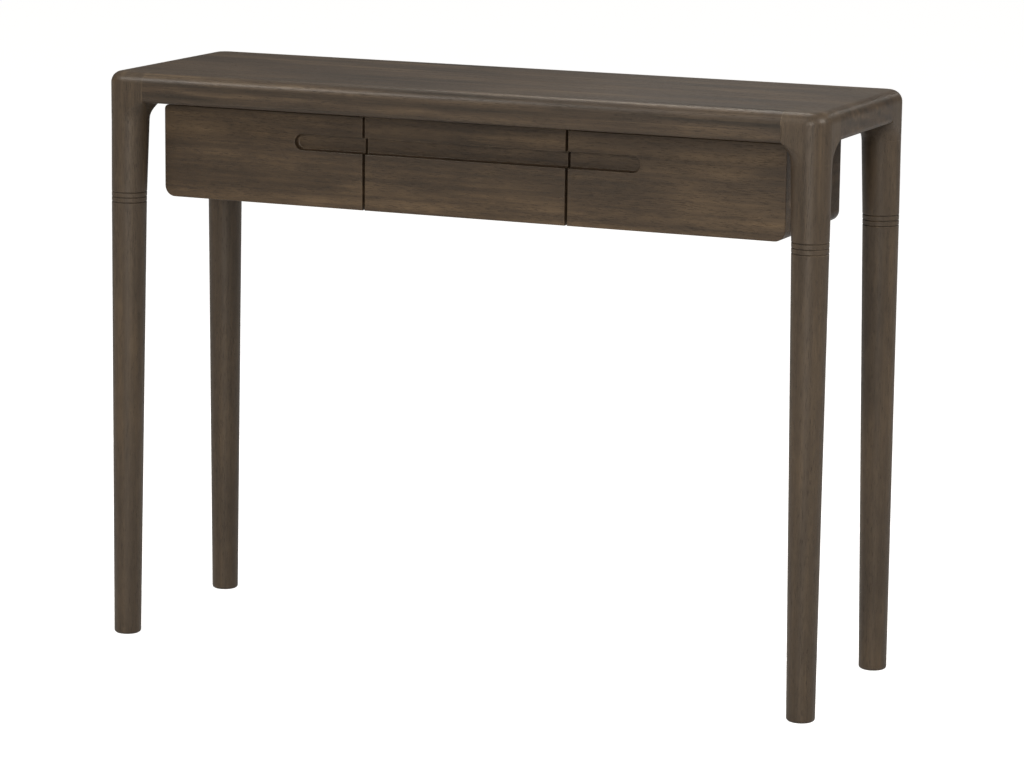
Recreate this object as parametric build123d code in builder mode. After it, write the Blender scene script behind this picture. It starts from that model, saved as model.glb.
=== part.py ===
from build123d import *
import math
import os

# Console table with three drawers, in millimetres.
# Origin: on the floor, under the middle of the top. +X to the right, +Y to the back, +Z up.

# ---------------------------------------------------------------- driving sizes
table_width = 1050.0
table_depth = 330.0
table_height = 800.0

# Solid top, glued up from boards that lie along X
top_thickness = 41.0
top_edge_radius = 16.0
under_edge_radius = 7.0
inner_board_count = 3

# Legs: a square head let into each corner of the top, then a turned, tapered shaft
leg_head = 60.0
head_seam_radius = 0.4
cove_height = 26.0
cove_reach = 7.0
cove_steps = 6
blend_steps = 4
shaft_step = 0.1
ring_reduction = 4.0
foot_diameter = 38.0
foot_edge_radius = 4.0
ring_pitch = 7.0
ring_width = 1.8
ring_depth = 1.0

# Dowels that hold each leg head to the boards beside it
leg_dowel_diameter = 8.0
leg_dowel_length = 50.0
leg_dowel_near = 19.0
leg_dowel_far = 34.0
leg_dowel_spread = 15.0
dowel_fit = 0.05

# Drawer case that hangs under the top, between the legs
case_drop = 134.0
case_leg_gap = 8.0
case_back_setback = 70.0
case_side_thickness = 16.0
case_divider_thickness = 14.0
case_bottom_thickness = 14.0
case_top_thickness = 12.0
case_back_thickness = 10.0
case_edge_radius = 15.0
case_dowel_diameter = 6.0
case_dowel_depth = 9.0
case_dowel_margin = 25.0

# Drawer fronts and the finger slot milled across all three
front_setback = 48.8
front_thickness = 20.0
front_gap = 3.5
front_top_gap = 6.0
front_top_radius = 6.0
front_edge_radius = 1.2
slot_length = 508.0
slot_height = 22.0
slot_depth = 10.0
slot_rise = 88.0
slot_floor_radius = 3.0

# Drawer boxes
drawer_side_thickness = 10.0
drawer_back_thickness = 10.0
drawer_back_gap = 13.0
drawer_side_clearance = 1.0
drawer_floor_clearance = 0.5
drawer_top_clearance = 3.0
drawer_bottom_thickness = 5.0
drawer_bottom_rise = 7.0
groove_depth = 5.0
groove_fit = 0.1
drawer_dowel_diameter = 6.0
drawer_dowel_front_depth = 8.0
drawer_dowel_side_depth = 16.0
drawer_dowel_back_depth = 14.0
drawer_dowel_cap = 3.0
drawer_dowel_spacing = 30.0
drawer_edge_margin = 18.0

# Drawer stops, bumpers and screws
stop_width = 34.0
stop_depth = 12.0
stop_drop = 12.0
stop_front_gap = 15.0
stop_slack = 0.5
bumper_diameter = 8.0
bumper_thickness = 1.0
bumper_clearance = 0.2
case_screw_diameter = 4.0
case_screw_head = 8.0
case_screw_head_height = 3.0
case_screw_cross = 4.8
case_screw_length = 35.0
case_screw_x_pitch = 254.0
case_screw_y_pitch = 110.0
stop_screw_length = 20.0
bottom_screw_diameter = 3.0
bottom_screw_head = 6.0
bottom_screw_head_height = 2.0
bottom_screw_length = 18.0
bottom_screw_spread = 180.0
screw_slot_width = 0.9
screw_slot_depth = 1.2

# Overrun of cutters past open faces, the least flat beside a rounded edge,
# and how closely an edge is looked up
cutter_overrun = 1.0
least_flat = 1.0
lookup_margin = 0.01

# ---------------------------------------------------------------- derived places
half_width = table_width / 2
half_depth = table_depth / 2
under_z = table_height - top_thickness

# Legs
neck_diameter = leg_head - cove_reach
ring_diameter = neck_diameter - ring_reduction
corner_radius = neck_diameter / 2
neck_corner = corner_radius - 2 * shaft_step
neck_z = under_z - cove_height
blend_z = under_z + under_edge_radius
head_x = half_width - leg_head
head_y = half_depth - leg_head
dowel_z = under_z + top_thickness / 2

# Drawer case
case_half = half_width - leg_head - case_leg_gap
case_inner_half = case_half - case_side_thickness
case_bottom_z = under_z - case_drop
case_floor_z = case_bottom_z + case_bottom_thickness
case_ceiling_z = under_z - case_top_thickness
front_y = -half_depth + front_setback
front_back_y = front_y + front_thickness
case_front_y = front_back_y + bumper_thickness + bumper_clearance
case_back_y = half_depth - case_back_setback
case_inner_back_y = case_back_y - case_back_thickness
bay_width = (2 * case_inner_half - 2 * case_divider_thickness) / 3
divider_x = bay_width / 2 + case_divider_thickness / 2
bay_pitch = bay_width + case_divider_thickness

# Drawer fronts
front_top_z = under_z - front_top_gap
slot_z = case_bottom_z + slot_rise

# Drawer boxes
box_half = bay_width / 2 - drawer_side_clearance
box_inner_half = box_half - drawer_side_thickness
box_bottom_z = case_floor_z + drawer_floor_clearance
box_top_z = case_ceiling_z - drawer_top_clearance
box_back_y = case_inner_back_y - drawer_back_gap
box_inner_back_y = box_back_y - drawer_back_thickness
panel_z = box_bottom_z + drawer_bottom_rise
panel_top_z = panel_z + drawer_bottom_thickness

# Drawer stops: the drawer's back panel meets them when the drawer is fully out
stop_y = front_back_y + stop_front_gap
drawer_travel = box_inner_back_y - (stop_y + stop_depth) - stop_slack

corners = {
    "leg_front_left": (-1, -1),
    "leg_front_right": (1, -1),
    "leg_back_left": (-1, 1),
    "leg_back_right": (1, 1),
}
bays = {"drawer_left": -bay_pitch, "drawer_centre": 0.0, "drawer_right": bay_pitch}

os.makedirs("parts", exist_ok=True)


def save(piece, label):
    """Label a finished piece and write it to its own STEP file."""
    piece.part.label = label
    export_step(piece.part, f"parts/{label}.step")


def block(low, high):
    """Add a box between two opposite corners to the part being built."""
    size = [b - a for a, b in zip(low, high)]
    with BuildSketch(Plane.XY.offset(low[2])) as outline:
        with Locations(((low[0] + high[0]) / 2, (low[1] + high[1]) / 2)):
            Rectangle(size[0], size[1])
    extrude(outline.sketch, amount=size[2])


def edges_at(part, along, *places):
    """Edges parallel to one axis whose centres lie at the given coordinates."""
    found = part.edges().filter_by(along)
    for axis, value in places:
        found = found.filter_by_position(axis, value - lookup_margin, value + lookup_margin)
    return found


def rods(starts, direction, radius, length):
    """Add round rods that start at each point and run along one direction."""
    for start in starts:
        with BuildSketch(Plane(origin=start, z_dir=direction)) as section:
            Circle(radius)
        extrude(section.sketch, amount=length)


# ---------------------------------------------------------------- leg dowels
def leg_dowel_set(fit):
    """Dowels of all four leg heads, each half in the head and half in a board."""
    half = leg_dowel_length / 2 + fit
    radius = leg_dowel_diameter / 2 + fit
    with BuildPart() as dowels:
        for side, face in corners.values():
            for step in (0, 1):
                reach = leg_dowel_near + step * leg_dowel_spread
                start = (side * (head_x - half), face * (head_y + reach), dowel_z)
                rods([start], (side, 0, 0), radius, 2 * half)
            for step in (0, 1):
                reach = leg_dowel_far + step * leg_dowel_spread
                start = (side * (head_x + reach), face * (head_y - half), dowel_z)
                rods([start], (0, face, 0), radius, 2 * half)
    return dowels


leg_dowels = leg_dowel_set(0)
leg_dowel_holes = leg_dowel_set(dowel_fit)
save(leg_dowels, "leg_dowels")


# ---------------------------------------------------------------- case screws
def countersunk_screws(points, length, fit):
    """Countersunk wood screws that drive upwards from each point."""
    radius = case_screw_diameter / 2 + fit
    head = case_screw_head / 2 + fit
    with BuildPart() as screws:
        with Locations(*points):
            Cylinder(radius, length + fit, align=(Align.CENTER, Align.CENTER, Align.MIN))
            Cone(head, radius, case_screw_head_height, align=(Align.CENTER, Align.CENTER, Align.MIN))
            if fit == 0:
                for turn in (0, 90):
                    Box(
                        case_screw_cross,
                        screw_slot_width,
                        screw_slot_depth,
                        rotation=(0, 0, turn),
                        align=(Align.CENTER, Align.CENTER, Align.MIN),
                        mode=Mode.SUBTRACT,
                    )
    return screws


case_middle_y = (case_front_y + case_inner_back_y) / 2
case_screw_points = [
    (column * case_screw_x_pitch, case_middle_y + row * case_screw_y_pitch, case_ceiling_z)
    for column in (-1.5, -0.5, 0.5, 1.5)
    for row in (-0.5, 0.5)
]
case_screws = countersunk_screws(case_screw_points, case_screw_length, 0)
case_screw_holes = countersunk_screws(case_screw_points, case_screw_length, dowel_fit)
save(case_screws, "case_screws")

stop_points = [(x, stop_y + stop_depth / 2, case_ceiling_z - stop_drop) for x in bays.values()]
stop_screws = countersunk_screws(stop_points, stop_screw_length, 0)
stop_screw_holes = countersunk_screws(stop_points, stop_screw_length, dowel_fit)
save(stop_screws, "stop_screws")

# ---------------------------------------------------------------- top boards
# The outer two boards lie between the leg heads; the inner ones run the full width.
inner_board_width = 2 * head_y / inner_board_count

for label, face in (("top_board_front", -1), ("top_board_back", 1)):
    near, far = sorted((face * head_y, face * half_depth))
    with BuildPart() as board:
        block((-head_x, near, under_z), (head_x, far, table_height))
        outer_y = (Axis.Y, face * half_depth)
        fillet(edges_at(board, Axis.X, outer_y, (Axis.Z, table_height)), top_edge_radius)
        fillet(edges_at(board, Axis.X, outer_y, (Axis.Z, under_z)), under_edge_radius)
        add(leg_dowel_holes.part, mode=Mode.SUBTRACT)
    save(board, label)

for index in range(inner_board_count):
    near = -head_y + index * inner_board_width
    with BuildPart() as board:
        block((-half_width, near, under_z), (half_width, near + inner_board_width, table_height))
        for side in (-1, 1):
            end_x = (Axis.X, side * half_width)
            fillet(edges_at(board, Axis.Y, end_x, (Axis.Z, table_height)), top_edge_radius)
            fillet(edges_at(board, Axis.Y, end_x, (Axis.Z, under_z)), under_edge_radius)
        add(leg_dowel_holes.part, mode=Mode.SUBTRACT)
        add(case_screw_holes.part, mode=Mode.SUBTRACT)
    save(board, f"top_board_inner_{index + 1}")


# ---------------------------------------------------------------- legs
def shaft_radius(z):
    """Radius of the turned shaft, which widens from the foot to the rings and on to the neck."""
    foot, ring, neck = foot_diameter / 2, ring_diameter / 2, neck_diameter / 2 - shaft_step
    if z <= case_bottom_z:
        return foot + (ring - foot) * z / case_bottom_z
    return ring + (neck - ring) * (z - case_bottom_z) / (neck_z - case_bottom_z)


def shaft_centre(side, face, z):
    """The shaft's outer sides stay plumb under the top's edges, so its centre shifts as it tapers."""
    inset = shaft_radius(z) + shaft_step
    return side * (half_width - inset), face * (half_depth - inset)


def head_section(side, face, z, size, free_radius, inner_radius):
    """Section of the leg head: a square with its own radius at the inner, free and outer corners."""
    corners_uv = ((0, 0), (size, 0), (size, size), (0, size))
    radii = (inner_radius, free_radius, corner_radius, free_radius)
    directions = ((1, 0), (0, 1), (-1, 0), (0, -1))

    def place(point):
        return side * (half_width - size + point[0]), face * (half_depth - size + point[1])

    def along(corner, direction, distance):
        return corner[0] + distance * direction[0], corner[1] + distance * direction[1]

    with BuildSketch(Plane.XY.offset(z)) as section:
        with BuildLine():
            for index, (corner, radius) in enumerate(zip(corners_uv, radii)):
                following = (index + 1) % 4
                arrive = along(corner, directions[index - 1], -radius)
                leave = along(corner, directions[index], radius)
                inset = radius * (1 - math.sqrt(0.5))
                middle = along(along(corner, directions[index - 1], -inset), directions[index], inset)
                ThreePointArc(place(arrive), place(middle), place(leave))
                target = along(corners_uv[following], directions[index], -radii[following])
                Line(place(leave), place(target))
        make_face()
    return section.sketch


# The top's outline with its rounded upper edge, which every leg head is shaped to
with BuildPart() as top_outline:
    with BuildSketch(Plane.XY.offset(under_z)):
        RectangleRounded(table_width, table_depth, corner_radius)
    extrude(amount=top_thickness)
    fillet(top_outline.edges().group_by(Axis.Z)[-1], top_edge_radius)

for label, (side, face) in corners.items():
    # Square head, flush with the boards
    with BuildPart() as head:
        extrude(
            head_section(side, face, blend_z, leg_head, head_seam_radius, head_seam_radius),
            amount=table_height - blend_z,
        )
        add(top_outline.part, mode=Mode.INTERSECT)

    with BuildPart() as leg:
        # Turned shaft: foot to rings, then rings to neck
        for low_z, high_z in ((0.0, case_bottom_z), (case_bottom_z, neck_z)):
            for z in (low_z, high_z):
                with BuildSketch(Plane.XY.offset(z)):
                    with Locations(shaft_centre(side, face, z)):
                        Circle(shaft_radius(z))
            loft(ruled=True)
        fillet(leg.edges().group_by(Axis.Z)[0], foot_edge_radius)

        # Cove: the round neck flares into the square head
        cove_sections = []
        for step in range(cove_steps + 1):
            z = neck_z + cove_height * step / cove_steps
            flare = (step / cove_steps) ** 2
            size = neck_diameter + cove_reach * flare
            free_radius = neck_corner + (under_edge_radius - neck_corner) * flare
            inner_radius = neck_corner + (head_seam_radius - neck_corner) * flare
            cove_sections.append(head_section(side, face, z, size, free_radius, inner_radius))
        loft(cove_sections)

        # The boards' rounded lower edge runs out into the head
        blend_sections = []
        for step in range(blend_steps + 1):
            angle = math.radians(90) * step / blend_steps
            z = blend_z - under_edge_radius * math.cos(angle)
            free_radius = max(under_edge_radius * (1 - math.sin(angle)), head_seam_radius)
            blend_sections.append(head_section(side, face, z, leg_head, free_radius, head_seam_radius))
        loft(blend_sections)

        add(head.part)

        # Three scored rings, level with the bottom of the drawer case
        for step in (-1, 0, 1):
            z = case_bottom_z + step * ring_pitch
            x, y = shaft_centre(side, face, z)
            radius = shaft_radius(z)
            with BuildSketch(Plane(origin=(x, y, z), x_dir=(1, 0, 0), z_dir=(0, -1, 0))):
                with BuildLine():
                    Polyline(
                        (radius - ring_depth, 0),
                        (radius + ring_depth, ring_width),
                        (radius + ring_depth, -ring_width),
                        close=True,
                    )
                make_face()
            revolve(axis=Axis((x, y, z), (0, 0, 1)), mode=Mode.SUBTRACT)
        add(leg_dowel_holes.part, mode=Mode.SUBTRACT)
    save(leg, label)


# ---------------------------------------------------------------- drawer case
def case_dowel_set(fit):
    """Dowels between the case's sides, dividers, top and bottom."""
    radius = case_dowel_diameter / 2 + fit
    depth = case_dowel_depth + fit
    bottom_z = case_bottom_z + case_bottom_thickness / 2
    top_z = under_z - case_top_thickness / 2
    rows = [case_front_y + case_dowel_margin, case_middle_y, case_inner_back_y - case_dowel_margin]
    with BuildPart() as dowels:
        for side in (-1, 1):
            for y in rows:
                for z in (bottom_z, top_z):
                    rods([(side * (case_inner_half - depth), y, z)], (side, 0, 0), radius, 2 * depth)
                low = (side * divider_x, y, case_floor_z - depth)
                high = (side * divider_x, y, case_ceiling_z - depth)
                rods([low, high], (0, 0, 1), radius, 2 * depth)
    return dowels


case_dowels = case_dowel_set(0)
case_dowel_holes = case_dowel_set(dowel_fit)
save(case_dowels, "case_dowels")

with BuildPart() as case_bottom:
    block(
        (-case_inner_half, case_front_y, case_bottom_z),
        (case_inner_half, case_inner_back_y, case_floor_z),
    )
    add(case_dowel_holes.part, mode=Mode.SUBTRACT)
save(case_bottom, "case_bottom")

with BuildPart() as case_top:
    block(
        (-case_inner_half, case_front_y, case_ceiling_z),
        (case_inner_half, case_inner_back_y, under_z),
    )
    add(case_dowel_holes.part, mode=Mode.SUBTRACT)
    add(case_screw_holes.part, mode=Mode.SUBTRACT)
    add(stop_screw_holes.part, mode=Mode.SUBTRACT)
save(case_top, "case_top")

for label, side in (("case_side_left", -1), ("case_side_right", 1)):
    near, far = sorted((side * case_inner_half, side * case_half))
    with BuildPart() as case_side:
        block((near, case_front_y, case_bottom_z), (far, case_back_y, under_z))
        outer_low = edges_at(case_side, Axis.Y, (Axis.X, side * case_half), (Axis.Z, case_bottom_z))
        fillet(outer_low, min(case_edge_radius, case_side_thickness - least_flat))
        add(case_dowel_holes.part, mode=Mode.SUBTRACT)
    save(case_side, label)

for label, side in (("case_divider_left", -1), ("case_divider_right", 1)):
    half = case_divider_thickness / 2
    with BuildPart() as divider:
        block(
            (side * divider_x - half, case_front_y, case_floor_z),
            (side * divider_x + half, case_inner_back_y, case_ceiling_z),
        )
        add(case_dowel_holes.part, mode=Mode.SUBTRACT)
    save(divider, label)

with BuildPart() as case_back:
    block(
        (-case_inner_half, case_inner_back_y, case_bottom_z),
        (case_inner_half, case_back_y, under_z),
    )
save(case_back, "case_back")

# Stops hang from the case's ceiling, inside each drawer, and catch its back panel
with BuildPart() as drawer_stops:
    for x in bays.values():
        block(
            (x - stop_width / 2, stop_y, case_ceiling_z - stop_drop),
            (x + stop_width / 2, stop_y + stop_depth, case_ceiling_z),
        )
    add(stop_screw_holes.part, mode=Mode.SUBTRACT)
save(drawer_stops, "drawer_stops")

# Felt dots on the case's front edges, where each drawer front lands
bumper_x = [
    side * place
    for side in (-1, 1)
    for place in (case_half - case_side_thickness / 2, divider_x - case_divider_thickness / 4)
]
with BuildPart() as bumper_dots:
    for x in bumper_x:
        for z in (case_floor_z + drawer_edge_margin, case_ceiling_z - drawer_edge_margin):
            rods([(x, case_front_y, z)], (0, -1, 0), bumper_diameter / 2, bumper_thickness)
save(bumper_dots, "bumper_dots")

# ---------------------------------------------------------------- finger slot cutter
with BuildPart() as finger_slot:
    mouth_y = front_y - cutter_overrun
    with BuildSketch(Plane(origin=(0, mouth_y, slot_z), x_dir=(1, 0, 0), z_dir=(0, -1, 0))):
        SlotOverall(slot_length, slot_height)
    extrude(amount=-slot_depth - cutter_overrun)
    fillet(finger_slot.faces().sort_by(Axis.Y)[-1].edges(), slot_floor_radius)

# ---------------------------------------------------------------- drawers
front_spans = {
    "drawer_left": (-case_half, -divider_x - front_gap / 2),
    "drawer_centre": (-divider_x + front_gap / 2, divider_x - front_gap / 2),
    "drawer_right": (divider_x + front_gap / 2, case_half),
}


def drawer_dowel_set(x, fit):
    """Dowels of one drawer box: sides to front, and sides to back."""
    radius = drawer_dowel_diameter / 2 + fit
    low_z = panel_top_z + drawer_edge_margin / 2
    with BuildPart() as dowels:
        for side in (-1, 1):
            middle = x + side * (box_half - drawer_side_thickness / 2)
            start_x = x + side * (box_half - drawer_dowel_cap + fit)
            for step in (0, 1):
                z = low_z + step * drawer_dowel_spacing
                start_y = front_back_y - drawer_dowel_front_depth - fit
                length = drawer_dowel_front_depth + drawer_dowel_side_depth + 2 * fit
                rods([(middle, start_y, z)], (0, 1, 0), radius, length)
                back_y = box_back_y - drawer_back_thickness / 2
                length = drawer_side_thickness - drawer_dowel_cap + drawer_dowel_back_depth + 2 * fit
                rods([(start_x, back_y, z)], (-side, 0, 0), radius, length)
    return dowels


def bottom_screw_set(x, fit):
    """Screws that hold one drawer's bottom panel up to its back."""
    y = box_back_y - drawer_back_thickness / 2
    points = [(x + side * bottom_screw_spread / 2, y, panel_z) for side in (-1, 1)]
    with BuildPart() as screws:
        with Locations(*points):
            Cylinder(
                bottom_screw_diameter / 2 + fit,
                bottom_screw_length + fit,
                align=(Align.CENTER, Align.CENTER, Align.MIN),
            )
            Cylinder(
                bottom_screw_head / 2,
                bottom_screw_head_height,
                align=(Align.CENTER, Align.CENTER, Align.MAX),
            )
    return screws


for name, x in bays.items():
    left_x, right_x = front_spans[name]
    dowels = drawer_dowel_set(x, 0)
    dowel_holes = drawer_dowel_set(x, dowel_fit)
    screws = bottom_screw_set(x, 0)
    screw_holes = bottom_screw_set(x, dowel_fit)
    save(dowels, f"{name}_dowels")
    save(screws, f"{name}_screws")

    # Bottom panel, held in grooves in the front and sides, and under the back
    panel_low = (x - box_inner_half - groove_depth, front_back_y - groove_depth, panel_z)
    panel_high = (x + box_inner_half + groove_depth, box_back_y, panel_top_z)
    with BuildPart() as bottom:
        block(panel_low, panel_high)
        add(screw_holes.part, mode=Mode.SUBTRACT)
    save(bottom, f"{name}_bottom")

    with BuildPart() as groove:
        block(
            [value - groove_fit for value in panel_low],
            (panel_high[0] + groove_fit, panel_high[1] + cutter_overrun, panel_high[2] + groove_fit),
        )

    # Front: rounded at the outer corners of the case only
    with BuildPart() as front:
        with BuildSketch(Plane(origin=(0, front_y, 0), x_dir=(1, 0, 0), z_dir=(0, -1, 0))) as face:
            with Locations(((left_x + right_x) / 2, (case_bottom_z + front_top_z) / 2)):
                Rectangle(right_x - left_x, front_top_z - case_bottom_z)
            for edge_z, radius in ((case_bottom_z, case_edge_radius), (front_top_z, front_top_radius)):
                outer = [
                    corner
                    for corner in face.vertices()
                    if abs(abs(corner.X) - case_half) < lookup_margin
                    and abs(corner.Y - edge_z) < lookup_margin
                ]
                if outer:
                    fillet(outer, radius)
        extrude(amount=-front_thickness)
        add(finger_slot.part, mode=Mode.SUBTRACT)
        fillet(front.faces().sort_by(Axis.Y)[0].edges(), front_edge_radius)
        add(groove.part, mode=Mode.SUBTRACT)
        add(dowel_holes.part, mode=Mode.SUBTRACT)
    save(front, f"{name}_front")

    for word, side in (("left", -1), ("right", 1)):
        near, far = sorted((x + side * box_inner_half, x + side * box_half))
        with BuildPart() as drawer_side:
            block((near, front_back_y, box_bottom_z), (far, box_back_y, box_top_z))
            add(groove.part, mode=Mode.SUBTRACT)
            add(dowel_holes.part, mode=Mode.SUBTRACT)
        save(drawer_side, f"{name}_{word}_side")

    with BuildPart() as back:
        block(
            (x - box_inner_half, box_inner_back_y, panel_top_z),
            (x + box_inner_half, box_back_y, box_top_z),
        )
        add(dowel_holes.part, mode=Mode.SUBTRACT)
        add(screw_holes.part, mode=Mode.SUBTRACT)
    save(back, f"{name}_back")

print(f"case half width {case_half:.2f}, bay width {bay_width:.2f}, divider centre {divider_x:.2f}")
print(f"drawer travel {drawer_travel:.2f}, box depth {box_back_y - front_back_y:.2f}")
print(f"foot centre {shaft_centre(1, -1, 0.0)}, slot height centre {slot_z:.1f}")
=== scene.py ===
"""Looks for a console table with three drawers: dark-stained wood, turned legs and a milled finger slot.

Every size is in metres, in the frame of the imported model. +X is to the right, +Y to the back and +Z up.
"""

import logging
import math
from dataclasses import dataclass
from enum import Enum
from typing import Sequence

import bpy
from mathutils import Euler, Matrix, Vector


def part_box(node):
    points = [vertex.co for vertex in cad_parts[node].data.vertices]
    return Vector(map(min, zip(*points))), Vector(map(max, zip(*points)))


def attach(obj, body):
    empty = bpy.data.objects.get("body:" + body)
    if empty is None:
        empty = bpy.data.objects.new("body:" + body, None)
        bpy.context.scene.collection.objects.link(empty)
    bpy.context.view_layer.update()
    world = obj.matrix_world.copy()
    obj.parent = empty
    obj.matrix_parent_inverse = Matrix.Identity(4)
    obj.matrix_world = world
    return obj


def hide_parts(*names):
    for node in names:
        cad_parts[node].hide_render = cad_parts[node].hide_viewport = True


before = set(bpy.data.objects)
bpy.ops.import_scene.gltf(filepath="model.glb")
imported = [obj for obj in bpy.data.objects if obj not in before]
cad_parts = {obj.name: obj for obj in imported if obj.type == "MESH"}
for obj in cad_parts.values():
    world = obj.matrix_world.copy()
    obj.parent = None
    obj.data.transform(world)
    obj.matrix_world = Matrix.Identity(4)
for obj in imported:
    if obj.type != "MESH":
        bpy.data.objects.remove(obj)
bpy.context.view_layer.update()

LOG = logging.getLogger("console_table")

Colour = tuple[float, float, float, float]
Value = bpy.types.NodeSocket | float
Rates = tuple[float, float, float]


def stain(red: int, green: int, blue: int) -> Colour:
    """Turn a colour given in everyday 0-255 steps into the linear colour that shaders use.

    Args:
        red: Red, 0 to 255.
        green: Green, 0 to 255.
        blue: Blue, 0 to 255.

    Returns:
        The linear colour with full opacity.
    """

    def linear(step: int) -> float:
        """One channel, from display steps to linear light.

        Args:
            step: The channel, 0 to 255.

        Returns:
            The channel in linear light, 0 to 1.
        """
        share = step / 255
        return share / 12.92 if share <= 0.04045 else ((share + 0.055) / 1.055) ** 2.4

    return linear(red), linear(green), linear(blue), 1.0


class Grain(Enum):
    """The direction in which the fibres of a piece of wood run."""

    ALONG_X = (0.0, 0.0, 0.0)
    ALONG_Y = (0.0, 0.0, -math.pi / 2)
    ALONG_Z = (0.0, math.pi / 2, 0.0)


class Web:
    """Adds and joins the nodes of one node tree."""

    def __init__(self, tree: bpy.types.NodeTree) -> None:
        """Start from an empty tree.

        Args:
            tree: The shader or geometry tree to fill.
        """
        self.tree = tree
        tree.nodes.clear()

    def add(self, kind: str, **settings: object) -> bpy.types.Node:
        """Add a node.

        Args:
            kind: The node's type name.
            settings: Properties to set on it.

        Returns:
            The new node.
        """
        node = self.tree.nodes.new(kind)
        for name, setting in settings.items():
            setattr(node, name, setting)
        return node

    def feed(self, socket: bpy.types.NodeSocket, value: object) -> None:
        """Join a socket to an input, or set the input's own value.

        Args:
            socket: The input.
            value: An output socket, or a constant.
        """
        if isinstance(value, bpy.types.NodeSocket):
            self.tree.links.new(value, socket)
        else:
            socket.default_value = value

    def maths(self, operation: str, *values: Value, clamp: bool = False) -> bpy.types.NodeSocket:
        """Combine numbers with one Math node.

        Args:
            operation: The node's operation.
            values: One to three numbers or sockets.
            clamp: True keeps the result between 0 and 1.

        Returns:
            The result's socket.
        """
        node = self.add("ShaderNodeMath", operation=operation, use_clamp=clamp)
        for socket, value in zip(node.inputs, values):
            self.feed(socket, value)
        return node.outputs[0]

    def vector(self, operation: str, *values: object) -> bpy.types.NodeSocket:
        """Combine vectors with one Vector Math node.

        Args:
            operation: The node's operation.
            values: One or two vectors or sockets.

        Returns:
            The result's socket.
        """
        node = self.add("ShaderNodeVectorMath", operation=operation)
        for socket, value in zip(node.inputs, values):
            self.feed(socket, value)
        return node.outputs["Value" if operation in ("LENGTH", "DOT_PRODUCT") else "Vector"]

    def noise(
        self, place: bpy.types.NodeSocket, stretch: Sequence[float], detail: float = 2.0,
        roughness: float = 0.5,
    ) -> bpy.types.NodeSocket:
        """Add a noise whose grains are stretched by a scale along each axis.

        Args:
            place: The coordinates.
            stretch: Features per metre along each axis.
            detail: Octaves of finer noise.
            roughness: Strength of each finer octave.

        Returns:
            The noise's value, from 0 to 1.
        """
        scaled = self.vector("MULTIPLY", place, tuple(stretch))
        node = self.add("ShaderNodeTexNoise", noise_dimensions="3D")
        self.feed(node.inputs["Vector"], scaled)
        self.feed(node.inputs["Scale"], 1.0)
        self.feed(node.inputs["Detail"], detail)
        self.feed(node.inputs["Roughness"], roughness)
        return node.outputs[0]

    def spread(
        self, value: Value, low: float, high: float, to_low: float = 0.0, to_high: float = 1.0
    ) -> bpy.types.NodeSocket:
        """Map a range of numbers to another, smoothly, and hold it at the ends.

        Args:
            value: The number.
            low: Start of the range.
            high: End of the range.
            to_low: Result at the start.
            to_high: Result at the end.

        Returns:
            The mapped number.
        """
        node = self.add("ShaderNodeMapRange", interpolation_type="SMOOTHSTEP")
        for name, setting in (
            ("Value", value), ("From Min", low), ("From Max", high), ("To Min", to_low), ("To Max", to_high)
        ):
            self.feed(node.inputs[name], setting)
        return node.outputs["Result"]

    def blend(self, share: Value, first: object, second: object) -> bpy.types.NodeSocket:
        """Mix two colours.

        Args:
            share: How much of the second colour there is.
            first: The first colour or socket.
            second: The second colour or socket.

        Returns:
            The mixed colour.
        """
        node = self.add("ShaderNodeMix", data_type="RGBA", blend_type="MIX")
        self.feed(node.inputs["Factor"], share)
        colours = [socket for socket in node.inputs if socket.type == "RGBA"]
        self.feed(colours[0], first)
        self.feed(colours[1], second)
        return next(socket for socket in node.outputs if socket.type == "RGBA")

    def ramp(self, share: bpy.types.NodeSocket, shades: Sequence[Colour]) -> bpy.types.NodeSocket:
        """Spread a row of colours evenly over 0 to 1.

        Args:
            share: Where on the row to read.
            shades: Colours from low to high.

        Returns:
            The colour.
        """
        node = self.add("ShaderNodeValToRGB")
        elements = node.color_ramp.elements
        while len(elements) < len(shades):
            elements.new(0.5)
        for index, shade in enumerate(shades):
            elements[index].position = index / (len(shades) - 1)
            elements[index].color = shade
        self.feed(node.inputs["Fac"], share)
        return node.outputs["Color"]

    def bump(
        self, height: bpy.types.NodeSocket, depth: float, below: bpy.types.NodeSocket | None = None
    ) -> bpy.types.NodeSocket:
        """Turn a height into a shading normal.

        Args:
            height: The height, from 0 to 1.
            depth: What a height of 1 stands for, in metres.
            below: A normal to start from.

        Returns:
            The normal.
        """
        node = self.add("ShaderNodeBump")
        self.feed(node.inputs["Strength"], 1.0)
        self.feed(node.inputs["Distance"], depth)
        self.feed(node.inputs["Height"], height)
        if below is not None:
            self.feed(node.inputs["Normal"], below)
        return node.outputs["Normal"]


def new_material(name: str) -> tuple[bpy.types.Material, Web, bpy.types.Node]:
    """Make a material with a Principled shader joined to its output.

    Args:
        name: The material's name.

    Returns:
        The material, its web of nodes and the shader node.
    """
    material = bpy.data.materials.new(name)
    material.use_nodes = True
    web = Web(material.node_tree)
    shader = web.add("ShaderNodeBsdfPrincipled")
    output = web.add("ShaderNodeOutputMaterial")
    web.feed(output.inputs["Surface"], shader.outputs["BSDF"])
    return material, web, shader


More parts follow.
